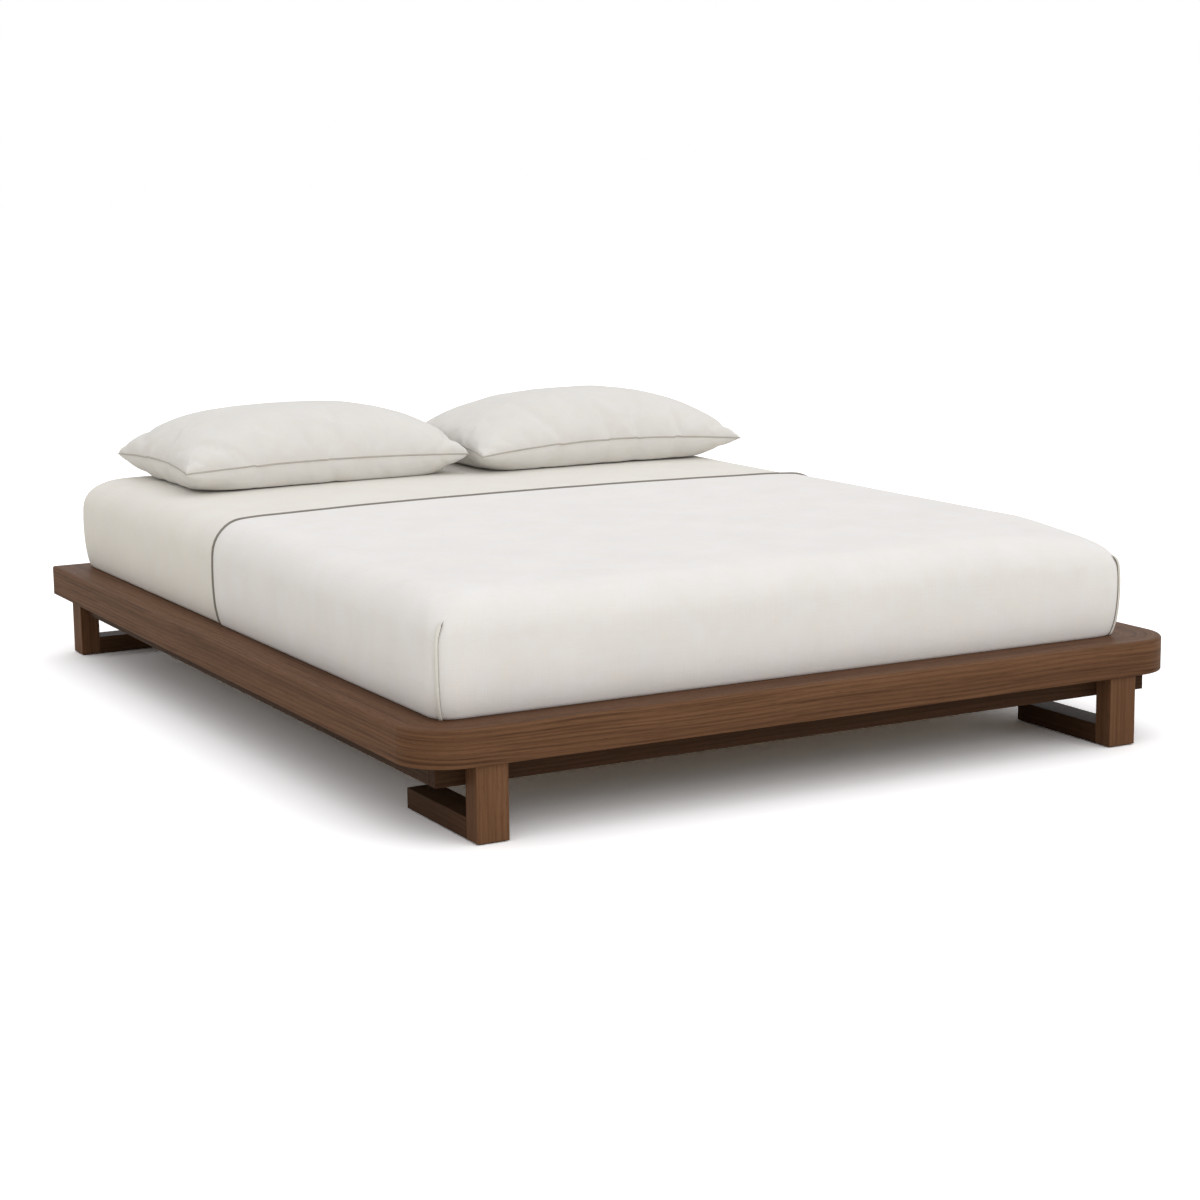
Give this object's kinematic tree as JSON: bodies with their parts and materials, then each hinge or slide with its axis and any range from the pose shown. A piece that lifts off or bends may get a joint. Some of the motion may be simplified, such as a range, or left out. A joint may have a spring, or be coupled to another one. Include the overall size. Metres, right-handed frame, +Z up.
{
  "type": "futon bed",
  "caption": "Low platform bed: a ledged wood slab on L-shaped runner legs, with a slatted deck inside, a mattress in a sheet and coverlet, and piped pillows.",
  "frame": {"origin": "on the floor below the middle of the slab", "axes": "+X across the bed to its right as seen from the foot, +Y from the foot to the head, +Z up"},
  "size_m": [1.706, 2.168, 0.6085],
  "materials": {
    "walnut": "satin stained walnut",
    "slat_wood": "planed, unfinished",
    "dowel_wood": "fluted beech, unfinished",
    "zinc_steel": "zinc plated",
    "felt": "pressed felt",
    "mattress_foam": "foam core in a knitted cover",
    "sheet": "plain-woven cotton",
    "coverlet": "fine linen-like weave",
    "piping": "taupe bias binding over cord",
    "pillow_cover": "plain-woven cotton",
    "pillow_piping": "self-coloured binding over cord",
    "pillow_fill": "fibre filling"
  },
  "bodies": {
    "bed_frame": {"rail_left": "walnut", "rail_right": "walnut", "rail_foot": "walnut", "rail_head": "walnut", "apron_left": "walnut", "apron_right": "walnut", "apron_foot": "walnut", "apron_head": "walnut", "leg_post_foot_left": "walnut", "leg_post_foot_right": "walnut", "leg_post_head_left": "walnut", "leg_post_head_right": "walnut", "leg_runner_foot_left": "walnut", "leg_runner_foot_right": "walnut", "leg_runner_head_left": "walnut", "leg_runner_head_right": "walnut", "ledger_left": "slat_wood", "ledger_right": "slat_wood", "centre_beam": "slat_wood", "centre_leg_foot": "slat_wood", "centre_leg_head": "slat_wood", "slat_1": "slat_wood", "slat_2": "slat_wood", "slat_3": "slat_wood", "slat_4": "slat_wood", "slat_5": "slat_wood", "slat_6": "slat_wood", "slat_7": "slat_wood", "slat_8": "slat_wood", "slat_9": "slat_wood", "slat_10": "slat_wood", "mitre_plate_left": "zinc_steel", "mitre_plate_right": "zinc_steel", "butt_plate_left": "zinc_steel", "butt_plate_right": "zinc_steel", "beam_hanger_foot": "zinc_steel", "beam_hanger_head": "zinc_steel", "leg_bolts": "zinc_steel", "leg_washers": "zinc_steel", "leg_inserts": "zinc_steel", "plate_screws": "zinc_steel", "apron_screws": "zinc_steel", "ledger_screws": "zinc_steel", "slat_screws": "zinc_steel", "leg_dowels": "dowel_wood", "floor_glides": "felt"},
    "mattress": {"mattress_core": "mattress_foam", "fitted_sheet": "sheet", "coverlet": "coverlet", "coverlet_hem": "piping", "corner_piping_left": "piping", "corner_piping_right": "piping"},
    "pillow_left": {"pillow_left_fill": "pillow_fill", "pillow_left_upper_panel": "pillow_cover", "pillow_left_lower_panel": "pillow_cover", "pillow_left_piping": "pillow_piping"},
    "pillow_right": {"pillow_right_fill": "pillow_fill", "pillow_right_upper_panel": "pillow_cover", "pillow_right_lower_panel": "pillow_cover", "pillow_right_piping": "pillow_piping"}
  },
  "joints": [
    {"name": "mattress_lift", "type": "slide", "parent": "bed_frame", "child": "mattress", "axis": [0, 0, 1], "range_m": [0, 0.4]},
    {"name": "pillow_left_lift", "type": "slide", "parent": "mattress", "child": "pillow_left", "axis": [0, 0, 1], "range_m": [0, 0.3]},
    {"name": "pillow_right_lift", "type": "slide", "parent": "mattress", "child": "pillow_right", "axis": [0, 0, 1], "range_m": [0, 0.3]}
  ]
}
